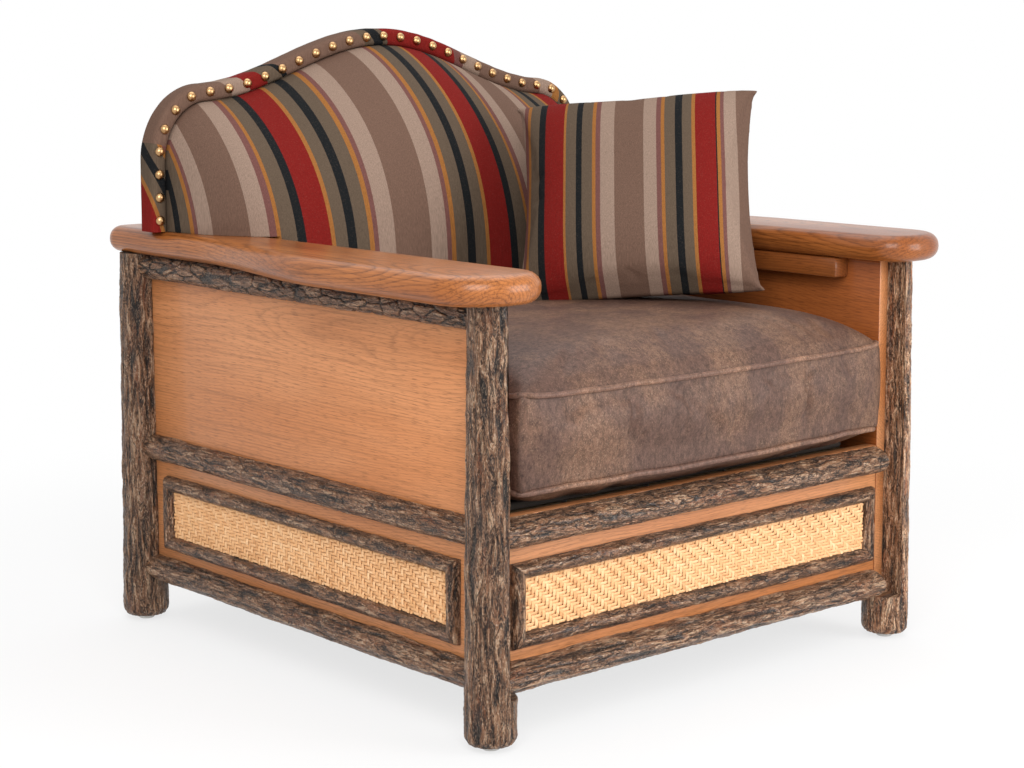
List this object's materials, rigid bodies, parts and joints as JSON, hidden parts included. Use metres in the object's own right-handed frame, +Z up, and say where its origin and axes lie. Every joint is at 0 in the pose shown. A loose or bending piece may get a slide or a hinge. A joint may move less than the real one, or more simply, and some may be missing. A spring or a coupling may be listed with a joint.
{
  "type": "lounge chair",
  "caption": "Rustic armchair with bark-on log posts and rails, oak sides and arms, woven cane panels, a nailed striped back, a loose leather seat cushion and a loose pillow.",
  "frame": {"origin": "on the floor, under the middle of the chair's box", "axes": "+X to the chair's right side as seen from the front, -Y to the front, +Z up"},
  "size_m": [0.93, 0.92, 0.889],
  "materials": {
    "bark": "matte",
    "oak": "satin",
    "cane": "matte",
    "seat_wood": "matte",
    "leather": "satin",
    "striped_cloth": "matte",
    "deck_cloth": "matte",
    "dark_cloth": "matte",
    "spring_steel": "satin",
    "glide_steel": "satin"
  },
  "bodies": {
    "chair_frame": {"post_front_left": "bark", "post_front_right": "bark", "post_rear_left": "bark", "post_rear_right": "bark", "glide_front_left": "glide_steel", "glide_front_right": "glide_steel", "glide_rear_left": "glide_steel", "glide_rear_right": "glide_steel", "side_panel_left": "oak", "side_panel_right": "oak", "front_apron": "oak", "rear_apron": "oak", "arm_left": "oak", "arm_right": "oak", "arm_cleat_left": "oak", "arm_cleat_right": "oak", "side_top_rail_left": "bark", "side_mid_rail_left": "bark", "side_bottom_rail_left": "bark", "side_top_rail_right": "bark", "side_mid_rail_right": "bark", "side_bottom_rail_right": "bark", "front_top_log": "bark", "front_bottom_log": "bark", "rear_top_log": "bark", "rear_bottom_log": "bark", "weave_front": "cane", "weave_left": "cane", "weave_right": "cane", "moulding_front_top": "bark", "moulding_front_right": "bark", "moulding_front_bottom": "bark", "moulding_front_left": "bark", "moulding_left_top": "bark", "moulding_left_right": "bark", "moulding_left_bottom": "bark", "moulding_left_left": "bark", "moulding_right_top": "bark", "moulding_right_right": "bark", "moulding_right_bottom": "bark", "moulding_right_left": "bark", "seat_cleat_left": "seat_wood", "seat_cleat_right": "seat_wood", "seat_rail_front": "seat_wood", "seat_rail_rear": "seat_wood", "seat_spring_1": "spring_steel", "seat_spring_2": "spring_steel", "seat_spring_3": "spring_steel", "seat_spring_4": "spring_steel", "seat_deck": "deck_cloth", "dust_cover": "dark_cloth", "back_board": "seat_wood", "back_border": "striped_cloth", "outside_back": "striped_cloth", "back_pad": "striped_cloth"},
    "seat_cushion": {"seat_cushion": "leather"},
    "throw_pillow": {"throw_pillow": "striped_cloth"}
  },
  "joints": [
    {"name": "seat_cushion_slide", "type": "slide", "parent": "chair_frame", "child": "seat_cushion", "axis": [0, -1, 0], "range_m": [0, 0.6]},
    {"name": "throw_pillow_lift", "type": "slide", "parent": "seat_cushion", "child": "throw_pillow", "axis": [0, 0, 1], "range_m": [0, 0.4]}
  ]
}
